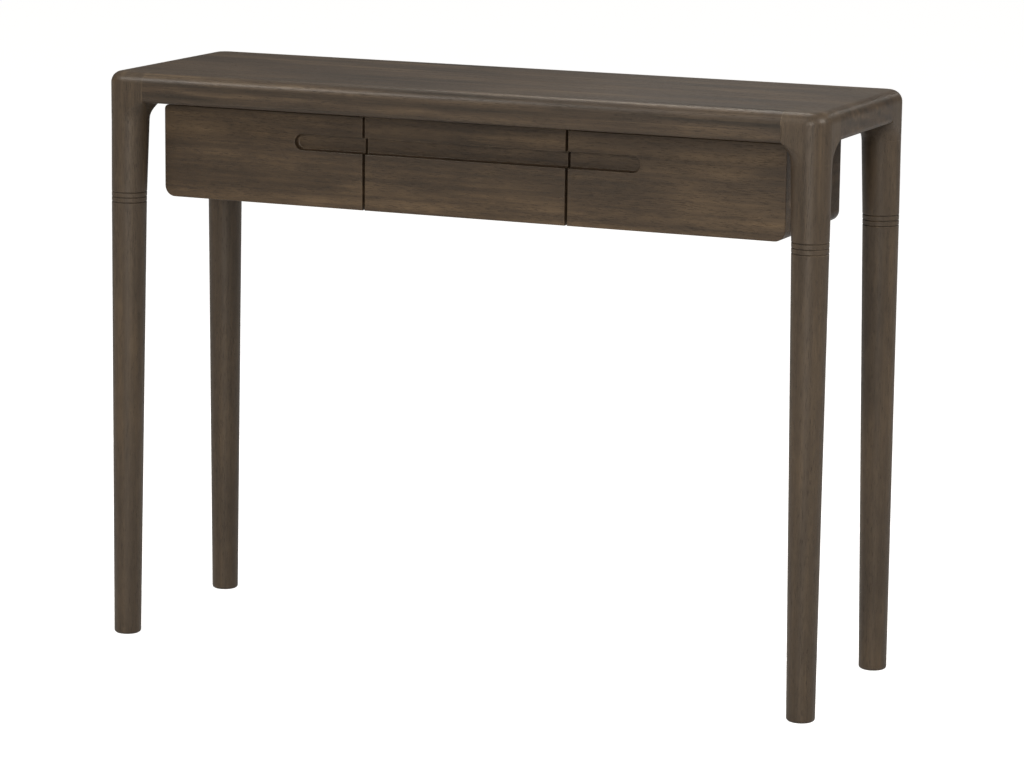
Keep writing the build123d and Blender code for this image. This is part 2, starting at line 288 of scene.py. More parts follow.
@dataclass(frozen=True)
class WoodFinish:
    """Wood with growth rings, fibres, open pores, an uneven stain and worn edges.

    The pattern is made in a space whose X runs along the fibres, so the same rules serve boards and legs.
    """

    name: str
    grain: Grain
    shades: tuple[Colour, ...]
    worn_shade: Colour
    ring_spacing: float = 0.017
    ring_contrast: float = 0.10
    ring_taper: float = 0.05
    fibre_contrast: float = 0.20
    streak_contrast: float = 0.34
    blotch_contrast: float = 0.30
    fleck_contrast: float = 0.16
    warm_shade: Colour = stain(98, 80, 58)
    warm_amount: float = 0.25
    warm_patches: Rates = (6.0, 16.0, 16.0)
    fibre_rates: Rates = (9.0, 620.0, 620.0)
    streak_rates: Rates = (2.2, 95.0, 95.0)
    blotch_rates: Rates = (3.5, 14.0, 14.0)
    fleck_rates: Rates = (45.0, 210.0, 210.0)
    pore_rates: Rates = (95.0, 1500.0, 1500.0)
    crowd_rates: Rates = (5.0, 60.0, 60.0)
    wander_rates: Rates = (3.2, 9.0, 9.0)
    ripple_rates: Rates = (14.0, 55.0, 55.0)
    presence_rates: Rates = (4.0, 20.0, 20.0)
    pith_wander: float = 0.09
    pith_offset: float = 0.02
    pith_lean: float = 0.03
    ripple_turn: float = 4.5
    pore_depth: float = 0.00010
    pore_amount: float = 0.5
    roughness: float = 0.46
    gloss: float = 0.26
    coat: float = 0.10
    coat_roughness: float = 0.30
    eased_radius: float = 0.0006
    bevel_samples: int = 4
    wear: float = 0.35
    wear_radius: float = 0.0014
    wear_rates: Rates = (22.0, 40.0, 40.0)
    scored_rings: tuple[float, ...] = ()
    scored_half_width: float = 0.0009
    # Colour of the scored rings: pooled stain, and painted shade in the grooves
    scored_shade: Colour = stain(26, 21, 17)
    scored_strength: float = 0.6

    def make(self, shift: Sequence[float] = (0.0, 0.0, 0.0)) -> bpy.types.Material:
        """Build the material.

        Args:
            shift: Moves the pattern, so that pieces cut from other boards differ.

        Returns:
            The finished material.
        """
        material, web, shader = new_material(self.name)
        spot = web.add("ShaderNodeTexCoord").outputs["Object"]
        mapping = web.add("ShaderNodeMapping", vector_type="POINT")
        web.feed(mapping.inputs["Vector"], spot)
        web.feed(mapping.inputs["Rotation"], Euler(self.grain.value))
        web.feed(mapping.inputs["Location"], Vector(shift))
        place = mapping.outputs["Vector"]

        rings = self.growth_rings(web, place)
        fibres = web.noise(place, self.fibre_rates, detail=3.0, roughness=0.62)
        streaks = web.noise(place, self.streak_rates, detail=3.0, roughness=0.55)
        blotches = web.noise(place, self.blotch_rates, detail=3.0, roughness=0.55)
        flecks = web.noise(place, self.fleck_rates, detail=4.0, roughness=0.65)
        pores = self.pores(web, place)

        tone: Value = 0.5
        for layer, weight in (
            (rings, self.ring_contrast), (fibres, self.fibre_contrast),
            (streaks, self.streak_contrast), (blotches, self.blotch_contrast), (flecks, self.fleck_contrast),
        ):
            centred = web.maths("SUBTRACT", layer, 0.5)
            tone = web.maths("MULTIPLY_ADD", centred, 2 * weight, tone)
        colour = web.ramp(web.maths("ADD", tone, 0.0, clamp=True), self.shades)
        warmth = web.noise(place, self.warm_patches, detail=4.0, roughness=0.6)
        warmth = web.maths("MULTIPLY", web.spread(warmth, 0.45, 0.75), web.spread(streaks, 0.25, 0.75))
        colour = web.blend(web.maths("MULTIPLY", warmth, self.warm_amount), colour, self.warm_shade)

        hollow = web.maths("MULTIPLY", pores, self.pore_amount)
        colour = web.blend(hollow, colour, self.shades[0])
        edges = self.worn_edges(web, place)
        colour = web.blend(web.maths("MULTIPLY", edges, self.wear), colour, self.worn_shade)
        # Darker scored rings on the legs: pooled stain, and painted shade in the grooves
        if self.scored_rings:
            colour = web.blend(self.scored_stain_and_shade(web, spot), colour, self.scored_shade)
        web.feed(shader.inputs["Base Color"], colour)

        rough = web.maths("MULTIPLY_ADD", blotches, 0.16, self.roughness - 0.08)
        rough = web.maths("MULTIPLY_ADD", pores, 0.2, rough)
        web.feed(shader.inputs["Roughness"], web.maths("MULTIPLY_ADD", fibres, 0.1, rough))
        web.feed(shader.inputs["Specular IOR Level"], self.gloss)
        web.feed(shader.inputs["Coat Weight"], self.coat)
        web.feed(shader.inputs["Coat Roughness"], self.coat_roughness)

        eased = web.add("ShaderNodeBevel", samples=self.bevel_samples)
        web.feed(eased.inputs["Radius"], self.eased_radius)
        surface = web.maths("SUBTRACT", fibres, web.maths("MULTIPLY", pores, 1.4))
        web.feed(shader.inputs["Normal"], web.bump(surface, self.pore_depth, eased.outputs["Normal"]))
        return material

    def growth_rings(self, web: Web, place: bpy.types.NodeSocket) -> bpy.types.NodeSocket:
        """Rings round a pith line that wanders and leans a little against the board.

        Args:
            web: The material's nodes.
            place: Pattern coordinates.

        Returns:
            0 in early wood to 1 in late wood.
        """
        wander = web.noise(place, self.wander_rates, detail=2.0)
        split = web.add("ShaderNodeSeparateXYZ")
        web.feed(split.inputs["Vector"], place)
        along, across, up = split.outputs
        drift = web.maths("MULTIPLY_ADD", wander, self.pith_wander, self.pith_offset)
        across = web.maths("ADD", web.maths("MULTIPLY_ADD", along, self.ring_taper, across), drift)
        up = web.maths("MULTIPLY_ADD", along, self.pith_lean, up)
        joined = web.add("ShaderNodeCombineXYZ")
        web.feed(joined.inputs["Y"], across)
        web.feed(joined.inputs["Z"], up)
        radius = web.vector("LENGTH", joined.outputs["Vector"])
        turns = web.maths("MULTIPLY", radius, 2 * math.pi / self.ring_spacing)
        ripple = web.noise(place, self.ripple_rates, detail=2.0)
        turns = web.maths("MULTIPLY_ADD", ripple, self.ripple_turn, turns)
        presence = web.spread(web.noise(place, self.presence_rates, detail=1.0), 0.35, 0.65, 0.15, 1.0)
        wave = web.maths("MULTIPLY", web.maths("SINE", turns), presence)
        return web.maths("MULTIPLY_ADD", wave, 0.5, 0.5)

    def pores(self, web: Web, place: bpy.types.NodeSocket) -> bpy.types.NodeSocket:
        """Short open pores that lie along the fibres, and gather in some of the rings.

        Args:
            web: The material's nodes.
            place: Pattern coordinates.

        Returns:
            1 inside a pore and 0 between pores.
        """
        cells = web.noise(place, self.pore_rates, detail=1.0)
        crowd = web.noise(place, self.crowd_rates, detail=1.0)
        threshold = web.maths("MULTIPLY_ADD", crowd, -0.22, 0.72)
        return web.maths("MULTIPLY", web.maths("SUBTRACT", cells, threshold), 16.0, clamp=True)

    def worn_edges(self, web: Web, place: bpy.types.NodeSocket) -> bpy.types.NodeSocket:
        """Edges where the stain is rubbed thin, in patches.

        Args:
            web: The material's nodes.
            place: Pattern coordinates.

        Returns:
            1 on a worn edge and 0 elsewhere.
        """
        rounded = web.add("ShaderNodeBevel", samples=self.bevel_samples)
        web.feed(rounded.inputs["Radius"], self.wear_radius)
        true_normal = web.add("ShaderNodeNewGeometry").outputs["True Normal"]
        turn = web.vector("DOT_PRODUCT", rounded.outputs["Normal"], true_normal)
        edge = web.spread(turn, 0.985, 0.86)
        patches = web.spread(web.noise(place, self.wear_rates, detail=3.0), 0.42, 0.7)
        return web.maths("MULTIPLY", edge, patches)

    def scored_stain_and_shade(self, web: Web, spot: bpy.types.NodeSocket) -> bpy.types.NodeSocket:
        """Stain that has gathered in the scored rings of the legs, with painted shade in the grooves as well.

        Args:
            web: The material's nodes.
            spot: Object coordinates.

        Returns:
            1 in the bottom of a ring and 0 away from it.
        """
        split = web.add("ShaderNodeSeparateXYZ")
        web.feed(split.inputs["Vector"], spot)
        # Pooled stain and painted shade, gathered over every ring
        stained: Value = 0.0
        for height in self.scored_rings:
            gap = web.maths("ABSOLUTE", web.maths("SUBTRACT", split.outputs["Z"], height))
            ring = web.spread(gap, self.scored_half_width, self.scored_half_width * 0.35)
            stained = web.maths("MAXIMUM", stained, ring)
        return web.maths("MULTIPLY", stained, self.scored_strength)


@dataclass(frozen=True)
class PlatedSteel:
    """Yellow-grey plated screw steel with fine turning marks."""

    name: str = "screw_steel_plated"
    colour: Colour = stain(176, 168, 150)
    tarnish: Colour = stain(112, 102, 88)

    def make(self) -> bpy.types.Material:
        """Build the material.

        Returns:
            The finished material.
        """
        material, web, shader = new_material(self.name)
        spot = web.add("ShaderNodeTexCoord").outputs["Object"]
        marks = web.noise(spot, (1800.0, 1800.0, 240.0), detail=3.0, roughness=0.6)
        spots = web.noise(spot, (260.0, 260.0, 260.0), detail=3.0)
        dulled = web.blend(web.spread(spots, 0.45, 0.75), self.colour, self.tarnish)
        web.feed(shader.inputs["Base Color"], dulled)
        web.feed(shader.inputs["Metallic"], 1.0)
        web.feed(shader.inputs["Roughness"], web.maths("MULTIPLY_ADD", spots, 0.3, 0.2))
        web.feed(shader.inputs["Normal"], web.bump(marks, 0.00003))
        return material


@dataclass(frozen=True)
class PressedFelt:
    """Dark pressed felt with short crossing fibres."""

    name: str = "bumper_felt_brown"
    colour: Colour = stain(72, 58, 46)
    light: Colour = stain(112, 96, 80)

    def make(self) -> bpy.types.Material:
        """Build the material.

        Returns:
            The finished material.
        """
        material, web, shader = new_material(self.name)
        spot = web.add("ShaderNodeTexCoord").outputs["Object"]
        across = web.noise(spot, (2400.0, 600.0, 500.0), detail=4.0, roughness=0.7)
        upright = web.noise(spot, (500.0, 600.0, 2400.0), detail=4.0, roughness=0.7)
        fibres = web.maths("MAXIMUM", across, upright)
        flecked = web.blend(web.spread(fibres, 0.42, 0.72), self.colour, self.light)
        web.feed(shader.inputs["Base Color"], flecked)
        web.feed(shader.inputs["Roughness"], 0.95)
        web.feed(shader.inputs["Sheen Weight"], 0.35)
        web.feed(shader.inputs["Normal"], web.bump(fibres, 0.0002))
        return material


# Stain shades from the darkest grain to the palest, one row for each kind of outer and inner wood
OUTER_SHADES = (
    stain(27, 21, 14), stain(40, 32, 23), stain(49, 39, 29), stain(59, 48, 36), stain(77, 64, 48)
)
LEG_SHADES = (
    stain(29, 23, 15), stain(44, 35, 25), stain(54, 44, 33), stain(65, 54, 41), stain(84, 71, 54)
)
FRONT_SHADES = (
    stain(25, 18, 11), stain(38, 29, 19), stain(48, 37, 25), stain(60, 47, 32), stain(83, 66, 45)
)
CASE_SHADES = (
    stain(22, 17, 12), stain(34, 27, 19), stain(43, 34, 25), stain(53, 43, 31), stain(66, 54, 40)
)
PALE_SHADES = (
    stain(120, 92, 62), stain(158, 126, 88), stain(182, 150, 110), stain(199, 169, 129), stain(214, 188, 150)
)
PANEL_SHADES = (
    stain(136, 108, 76), stain(170, 140, 102), stain(190, 160, 120), stain(204, 177, 138),
    stain(216, 192, 155),
)
WORN_STAIN = stain(138, 118, 92)
WORN_PALE = stain(222, 200, 166)

DRAWERS = ("drawer_left", "drawer_centre", "drawer_right")


def dress(node: str, material: bpy.types.Material) -> None:
    """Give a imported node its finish.

    Args:
        node: The node's name.
        material: The finish.
    """
    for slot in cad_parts[node].material_slots:
        slot.material = material


@dataclass
class TableTop:
    """The solid top: a front and a back board between the leg heads, and three inner boards."""

    inner_boards: int = 3

    def build(self) -> None:
        """Dress every board from one run of grain, so that the glue lines stay quiet."""
        finish = WoodFinish(
            "top_stained_wood", Grain.ALONG_X, OUTER_SHADES, WORN_STAIN,
            ring_contrast=0.2, fibre_contrast=0.34, streak_contrast=0.6,
        )
        material = finish.make((0.31, 0.02, 0.0))
        boards = ["top_board_front", "top_board_back"]
        boards += [f"top_board_inner_{index + 1}" for index in range(self.inner_boards)]
        for board in boards:
            dress(board, material)
        LOG.info("table top: %d boards", len(boards))


@dataclass
class Legs:
    """Four turned legs with square heads, scored with three rings."""

    ring_pitch: float = 0.007

    def build(self) -> None:
        """Dress each leg from its own billet, with stain and painted shade in its rings."""
        ring_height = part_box("case_bottom")[0][2]
        rings = tuple(ring_height + step * self.ring_pitch for step in (-1, 0, 1))
        for index, (side, face) in enumerate(
            (("front", "left"), ("front", "right"), ("back", "left"), ("back", "right"))
        ):
            leg = f"leg_{side}_{face}"
            finish = WoodFinish(
                f"{leg}_stained_wood", Grain.ALONG_Z, LEG_SHADES, WORN_STAIN, ring_contrast=0.05,
                streak_contrast=0.24, blotch_contrast=0.2, fleck_contrast=0.26, scored_rings=rings,
            )
            dress(leg, finish.make((0.37 * index, 0.11 * index, 0.23 * index)))
            LOG.info("leg: %s", leg)


@dataclass
class DrawerCase:
    """The case that hangs under the top. Its stops, dowels, screws and felt dots are finished with the
    drawers and the fixings.
    """

    def build(self) -> None:
        """Dress the case's panels."""
        case = WoodFinish("case_stained_wood", Grain.ALONG_X, CASE_SHADES, WORN_STAIN)
        side = WoodFinish("case_side_stained_wood", Grain.ALONG_Y, CASE_SHADES, WORN_STAIN)
        case_material = case.make((0.05, 0.4, 0.1))
        side_material = side.make((0.2, 0.1, 0.3))
        for node in ("case_top", "case_bottom", "case_back"):
            dress(node, case_material)
        for node in ("case_side_left", "case_side_right", "case_divider_left", "case_divider_right"):
            dress(node, side_material)
        LOG.info("drawer case")


@dataclass
class Drawers:
    """Three drawers whose fronts are cut from one figured board."""

    def build(self) -> None:
        """Dress the fronts as one board, and the boxes behind them in pale wood."""
        front = WoodFinish(
            "front_figured_wood", Grain.ALONG_X, FRONT_SHADES, WORN_STAIN,
            ring_spacing=0.010, ring_contrast=0.07, ring_taper=0.16, blotch_contrast=0.48,
            fleck_contrast=0.28,
            streak_contrast=0.24, warm_amount=0.5, warm_patches=(5.0, 14.0, 14.0),
        ).make((0.62, 0.0, -0.03))
        side = WoodFinish(
            "drawer_pale_wood", Grain.ALONG_Y, PALE_SHADES, WORN_PALE, roughness=0.6, pore_amount=0.2
        ).make()
        back = WoodFinish(
            "drawer_back_pale_wood", Grain.ALONG_X, PALE_SHADES, WORN_PALE, roughness=0.6, pore_amount=0.2
        ).make((0.4, 0.1, 0.0))
        panel = WoodFinish(
            "drawer_bottom_plywood", Grain.ALONG_X, PANEL_SHADES, WORN_PALE, roughness=0.62, pore_amount=0.15
        ).make((1.1, 0.3, 0.0))
        dress("drawer_stops", back)
        for drawer in DRAWERS:
            dress(f"{drawer}_front", front)
            dress(f"{drawer}_left_side", side)
            dress(f"{drawer}_right_side", side)
            dress(f"{drawer}_back", back)
            dress(f"{drawer}_bottom", panel)
            LOG.info("drawer: %s", drawer)


class HeadStyle(Enum):
    """Outline of a screw from its drive face to its tip.

    Each pair is a share of the length, then a share of the head's radius.
    """

    COUNTERSUNK = (
        (0.0, 0.97), (0.006, 1.0), (0.016, 1.0), (0.1, 0.5),
        (0.34, 0.5), (0.36, 0.36), (0.9, 0.34), (1.0, 0.02),
    )
    PAN = (
        (0.0, 0.62), (0.02, 0.82), (0.05, 0.97), (0.07, 1.0), (0.1, 1.0),
        (0.101, 0.5), (0.2, 0.36), (0.9, 0.34), (1.0, 0.02),
    )


class GeometryTree:
    """A geometry node tree with named inputs, filled step by step and turned into a plain mesh."""

    def __init__(self, name: str) -> None:
        """Start a tree with one geometry output.

        Args:
            name: The tree's name.
        """
        self.tree = bpy.data.node_groups.new(name, "GeometryNodeTree")
        self.web = Web(self.tree)
        self.given = self.web.add("NodeGroupInput")
        self.settings: dict[str, object] = {}
        self.tree.interface.new_socket("Geometry", in_out="OUTPUT", socket_type="NodeSocketGeometry")

    def size(self, name: str, setting: object, kind: str = "NodeSocketFloat") -> bpy.types.NodeSocket:
        """Add a named input.

        Args:
            name: The input's name.
            setting: Its value on the modifier.
            kind: The socket's type.

        Returns:
            The socket to read it from.
        """
        socket = self.tree.interface.new_socket(name, in_out="INPUT", socket_type=kind)
        self.settings[socket.identifier] = setting
        return self.given.outputs[name]

    def step(
        self, kind: str, *, settings: dict[str, object] | None = None, **inputs: object
    ) -> bpy.types.NodeSocket:
        """Add a node and feed its inputs by name.

        Args:
            kind: The node's type name.
            settings: Properties to set on it.
            inputs: Input names, with _ for a space, and what each is fed.

        Returns:
            The node's first output.
        """
        node = self.web.add(kind, **(settings or {}))
        for name, value in inputs.items():
            self.web.feed(node.inputs[name.replace("_", " ")], value)
        return node.outputs[0]

    def join(self, *parts: bpy.types.NodeSocket) -> bpy.types.NodeSocket:
        """Join several geometries into one.

        Args:
            parts: The geometries.

        Returns:
            The joined geometry.
        """
        node = self.web.add("GeometryNodeJoinGeometry")
        for part in parts:
            self.web.feed(node.inputs[0], part)
        return node.outputs[0]

    def place(self, x: Value = 0.0, y: Value = 0.0, z: Value = 0.0) -> bpy.types.NodeSocket:
        """Combine three numbers into a vector.

        Args:
            x: To the right.
            y: To the back.
            z: Up.

        Returns:
            The vector's socket.
        """
        return self.step("ShaderNodeCombineXYZ", X=x, Y=y, Z=z)

    def repeat(
        self, part: bpy.types.NodeSocket, count: Value, pitch: bpy.types.NodeSocket,
        spin_seed: int | None = None,
    ) -> bpy.types.NodeSocket:
        """Set copies of a part in a straight row.

        Args:
            part: What is repeated.
            count: How many.
            pitch: The step from one to the next.
            spin_seed: Seed for turning each copy about its own upright axis, or None to leave them alike.

        Returns:
            The row.
        """
        line = self.step("GeometryNodeMeshLine", Count=count, Offset=pitch)
        row: dict[str, object] = {"Points": line, "Instance": part}
        if spin_seed is not None:
            spin = self.web.add("FunctionNodeRandomValue", data_type="FLOAT_VECTOR")
            self.web.feed(spin.inputs["Min"], (0.0, 0.0, 0.0))
            self.web.feed(spin.inputs["Max"], (0.0, 0.0, math.tau))
            self.web.feed(spin.inputs["Seed"], spin_seed)
            row["Rotation"] = spin.outputs[0]
        return self.step("GeometryNodeInstanceOnPoints", **row)

    def mesh(
        self, shape: bpy.types.NodeSocket, material: bpy.types.Material, crease: float = 0.6
    ) -> bpy.types.Object:
        """Finish the tree, run it once and keep the result as a plain mesh.

        Args:
            shape: The finished geometry.
            material: Its finish.
            crease: Angle past which an edge stays sharp, in radians.

        Returns:
            A mesh object at the origin with no modifier.
        """
        finish = self.size("Finish", material, "NodeSocketMaterial")
        whole = self.step("GeometryNodeRealizeInstances", Geometry=shape)
        whole = self.step("GeometryNodeSetShadeSmooth", Geometry=whole, Shade_Smooth=True)
        angle = self.web.add("GeometryNodeInputMeshEdgeAngle").outputs["Unsigned Angle"]
        sharp = self.step(
            "FunctionNodeCompare", settings={"data_type": "FLOAT", "operation": "GREATER_THAN"},
            A=angle, B=crease,
        )
        whole = self.step(
            "GeometryNodeSetShadeSmooth", settings={"domain": "EDGE"},
            Geometry=whole, Selection=sharp, Shade_Smooth=False,
        )
        whole = self.step("GeometryNodeSetMaterial", Geometry=whole, Material=finish)
        self.web.feed(self.web.add("NodeGroupOutput").inputs[0], whole)

        maker = bpy.data.objects.new("maker", bpy.data.meshes.new("maker"))
        bpy.context.scene.collection.objects.link(maker)
        modifier = maker.modifiers.new("maker", "NODES")
        modifier.node_group = self.tree
        for identifier, setting in self.settings.items():
            modifier[identifier] = setting
        made = maker.evaluated_get(bpy.context.evaluated_depsgraph_get())
        mesh = bpy.data.meshes.new_from_object(made)
        maker.modifiers.clear()
        bpy.data.objects.remove(maker)
        mesh.name = self.tree.name
        mesh.materials.clear()
        mesh.materials.append(material)
        mesh.polygons.foreach_set("material_index", [0] * len(mesh.polygons))
        piece = bpy.data.objects.new(self.tree.name, mesh)
        bpy.context.scene.collection.objects.link(piece)
        return piece


@dataclass
class ScrewSet:
    """Threaded wood screws in a grid, heads down, with a tapered cross recess in each head."""

    node: str
    body: str
    columns: int
    rows: int
    style: HeadStyle
    head_radius: float
    shank_radius: float
    thread_pitch: float = 0.0015
    thread_share: float = 0.56
    recess_reach: float = 0.6
    recess_width: float = 0.2
    recess_depth: float = 0.0013
    recess_floor: float = 0.55
    thread_root: float = 0.76
    thread_crest: float = 0.24
    thread_taper: float = 0.92
    thread_end: float = 0.9
    turn_steps: int = 18
    spin_seed: int = 7
    sides: int = 32
    segments: int = 64

    def build(self, steel: bpy.types.Material) -> None:
        """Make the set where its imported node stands.

        Args:
            steel: The screws' finish.
        """
        low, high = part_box(self.node)
        tree = GeometryTree(f"{self.node}_threaded")
        length = tree.size("Length", high[2] - low[2])
        head = tree.size("Head Radius", self.head_radius)
        shank = tree.size("Shank Radius", self.shank_radius)
        pitch = tree.size("Thread Pitch", self.thread_pitch)
        columns = tree.size("Columns", self.columns, "NodeSocketInt")
        rows = tree.size("Rows", self.rows, "NodeSocketInt")
        across = tree.size("Column Pitch", self.spacing(low[0], high[0], self.columns))
        along = tree.size("Row Pitch", self.spacing(low[1], high[1], self.rows))
        first = (low[0] + self.head_radius, low[1] + self.head_radius, low[2])
        corner = tree.size("First Screw", first, "NodeSocketVector")

        body = self.recessed(tree, self.turned(tree, length, head), head)
        screw = tree.join(body, self.thread(tree, length, shank, pitch))
        line = tree.repeat(screw, columns, tree.place(x=across), spin_seed=self.spin_seed)
        grid = tree.repeat(line, rows, tree.place(y=along))
        grid = tree.step("GeometryNodeTransform", Geometry=grid, Translation=corner)
        piece = tree.mesh(grid, steel)
        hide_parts(self.node)
        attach(piece, self.body)
        LOG.info("screws: %s, %d", piece.name, self.columns * self.rows)

    def spacing(self, low: float, high: float, count: int) -> float:
        """Distance between neighbours when heads fill a span from edge to edge.

        Args:
            low: Start of the span.
            high: End of the span.
            count: How many heads stand in it.

        Returns:
            The distance from one head's middle to the next.
        """
        return (high - low - 2 * self.head_radius) / max(count - 1, 1)

    def turned(self, tree: GeometryTree, length: Value, head: Value) -> bpy.types.NodeSocket:
        """Head, neck, core and tip, turned from one bar.

        Args:
            tree: The screw's tree.
            length: The whole length.
            head: The head's radius.

        Returns:
            A closed body that stands on its drive face.
        """
        web = tree.web
        bar = tree.step(
            "GeometryNodeMeshCylinder", Vertices=self.sides, Side_Segments=self.segments,
            Radius=head, Depth=length,
        )
        half = web.maths("MULTIPLY", length, 0.5)
        bar = tree.step("GeometryNodeTransform", Geometry=bar, Translation=tree.place(z=half))
        split = web.add("ShaderNodeSeparateXYZ")
        web.feed(split.inputs[0], web.add("GeometryNodeInputPosition").outputs[0])
        outline = web.add("ShaderNodeFloatCurve")
        points = outline.mapping.curves[0].points
        while len(points) < len(self.style.value):
            points.new(0.5, 0.5)
        for point, (share, width) in zip(points, self.style.value):
            point.location = (share, width)
            point.handle_type = "VECTOR"
        outline.mapping.update()
        web.feed(outline.inputs["Value"], web.maths("DIVIDE", split.outputs["Z"], length))
        width = outline.outputs[0]
        spot = tree.place(
            web.maths("MULTIPLY", split.outputs["X"], width),
            web.maths("MULTIPLY", split.outputs["Y"], width),
            split.outputs["Z"],
        )
        return tree.step("GeometryNodeSetPosition", Geometry=bar, Position=spot)

    def recessed(
        self, tree: GeometryTree, body: bpy.types.NodeSocket, head: bpy.types.NodeSocket
    ) -> bpy.types.NodeSocket:
        """Sink a cross recess into the drive face, narrower at its floor.

        Args:
            tree: The screw's tree.
            body: The turned body.
            head: The head's radius.

        Returns:
            The body with its recess.
        """
        wedge = tree.step(
            "GeometryNodeMeshCone", Vertices=4, Radius_Bottom=1.0, Radius_Top=self.recess_floor,
            Depth=2 * self.recess_depth,
        )
        wings = []
        for turn in (0.0, math.pi / 2):
            reach = tree.web.maths("MULTIPLY", head, self.recess_reach * math.sqrt(2))
            width = tree.web.maths("MULTIPLY", head, self.recess_width * math.sqrt(2))
            squared = tree.step("GeometryNodeTransform", Geometry=wedge, Rotation=(0.0, 0.0, math.pi / 4))
            slim = tree.step("GeometryNodeTransform", Geometry=squared, Scale=tree.place(reach, width, 1.0))
            low = (0.0, 0.0, -self.recess_depth)
            wings.append(
                tree.step("GeometryNodeTransform", Geometry=slim, Rotation=(0.0, 0.0, turn), Translation=low)
            )
        cut = tree.web.add("GeometryNodeMeshBoolean", operation="DIFFERENCE", solver="EXACT")
        tree.web.feed(cut.inputs["Mesh 1"], body)
        for wing in wings:
            tree.web.feed(cut.inputs["Mesh 2"], wing)
        return cut.outputs["Mesh"]

    def thread(
        self, tree: GeometryTree, length: Value, shank: bpy.types.NodeSocket, pitch: bpy.types.NodeSocket
    ) -> bpy.types.NodeSocket:
        """A sharp-crested thread wound round the core, up to the tip.

        Args:
            tree: The screw's tree.
            length: The whole length.
            shank: Radius at the thread's crest.
            pitch: Distance between turns.

        Returns:
            The thread.
        """
        web = tree.web
        rise = web.maths("MULTIPLY", length, self.thread_share)
        middle = web.maths("MULTIPLY", shank, self.thread_root)
        helix = tree.step(
            "GeometryNodeCurveSpiral", Resolution=self.turn_steps, Rotations=web.maths("DIVIDE", rise, pitch),
            Start_Radius=middle, End_Radius=web.maths("MULTIPLY", middle, self.thread_taper), Height=rise,
        )
        crest = tree.step(
            "GeometryNodeCurvePrimitiveCircle", Resolution=3,
            Radius=web.maths("MULTIPLY", shank, self.thread_crest),
        )
        wound = tree.step("GeometryNodeCurveToMesh", Curve=helix, Profile_Curve=crest, Fill_Caps=True)
        start = web.maths("MULTIPLY", length, self.thread_end - self.thread_share)
        return tree.step("GeometryNodeTransform", Geometry=wound, Translation=tree.place(z=start))


@dataclass
class FeltDots:
    """Felt dots on the case's front edges, with a fuzzy face."""

    node: str = "bumper_dots"
    radius: float = 0.004
    fuzz: float = 0.00022
    fuzz_rate: float = 1400.0
    sides: int = 36
    rings: int = 7

    def build(self, felt: bpy.types.Material) -> None:
        """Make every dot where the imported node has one.

        Args:
            felt: The dots' finish.
        """
        low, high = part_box(self.node)
        divider_low, divider_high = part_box("case_divider_right")
        inner_reach = (divider_low[0] * 3 + divider_high[0]) / 4
        tree = GeometryTree(f"{self.node}_felt")
        web = tree.web
        radius = tree.size("Radius", self.radius)
        thickness = tree.size("Thickness", high[1] - low[1])
        fuzz = tree.size("Fuzz", self.fuzz)
        dot = tree.step(
            "GeometryNodeMeshCylinder", settings={"fill_type": "TRIANGLE_FAN"}, Vertices=self.sides,
            Side_Segments=3, Fill_Segments=self.rings, Radius=radius, Depth=thickness,
        )
        noise = web.add("ShaderNodeTexNoise", noise_dimensions="3D")
        web.feed(noise.inputs["Scale"], self.fuzz_rate)
        lean = web.add("ShaderNodeVectorMath", operation="SCALE")
        web.feed(lean.inputs[0], web.add("GeometryNodeInputNormal").outputs[0])
        sunk = web.maths("SUBTRACT", noise.outputs[0], 1.0)
        web.feed(lean.inputs["Scale"], web.maths("MULTIPLY", sunk, fuzz))
        dot = tree.step("GeometryNodeSetPosition", Geometry=dot, Offset=lean.outputs[0])
        dot = tree.step("GeometryNodeTransform", Geometry=dot, Rotation=(math.pi / 2, 0.0, 0.0))

        outer_reach = high[0] - self.radius
        pairs = []
        for name, reach in (("Outer Reach", outer_reach), ("Inner Reach", inner_reach)):
            far = tree.size(name, reach)
            pair = tree.repeat(dot, 2, tree.place(x=web.maths("MULTIPLY", far, 2.0)))
            start = tree.place(x=web.maths("MULTIPLY", far, -1.0))
            pairs.append(tree.step("GeometryNodeTransform", Geometry=pair, Translation=start))
        rise = tree.size("Row Pitch", high[2] - low[2] - 2 * self.radius)
        rows = tree.repeat(tree.join(*pairs), 2, tree.place(z=rise))
        spot = (0.0, (low[1] + high[1]) / 2, low[2] + self.radius)
        corner = tree.size("First Row", spot, "NodeSocketVector")
        rows = tree.step("GeometryNodeTransform", Geometry=rows, Translation=corner)
        piece = tree.mesh(rows, felt, crease=1.0)
        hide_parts(self.node)
        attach(piece, "table")
        LOG.info("felt dots: %s", piece.name)


@dataclass
class Fixings:
    """Dowels, screws and felt dots."""

    def build(self) -> None:
        """Dress the dowels, and make the screws and the dots."""
        beech = WoodFinish("dowel_beech", Grain.ALONG_X, PALE_SHADES, WORN_PALE, roughness=0.6).make()
        for node in ("leg_dowels", "case_dowels", *(f"{drawer}_dowels" for drawer in DRAWERS)):
            dress(node, beech)
        sets = [
            ScrewSet("case_screws", "table", 4, 2, HeadStyle.COUNTERSUNK, 0.004, 0.002),
            ScrewSet("stop_screws", "table", 3, 1, HeadStyle.COUNTERSUNK, 0.004, 0.002),
        ]
        for drawer in DRAWERS:
            sets.append(ScrewSet(f"{drawer}_screws", drawer, 2, 1, HeadStyle.PAN, 0.003, 0.0015, 0.0012))
        steel = PlatedSteel().make()
        for screws in sets:
            screws.build(steel)
        FeltDots().build(PressedFelt().make())


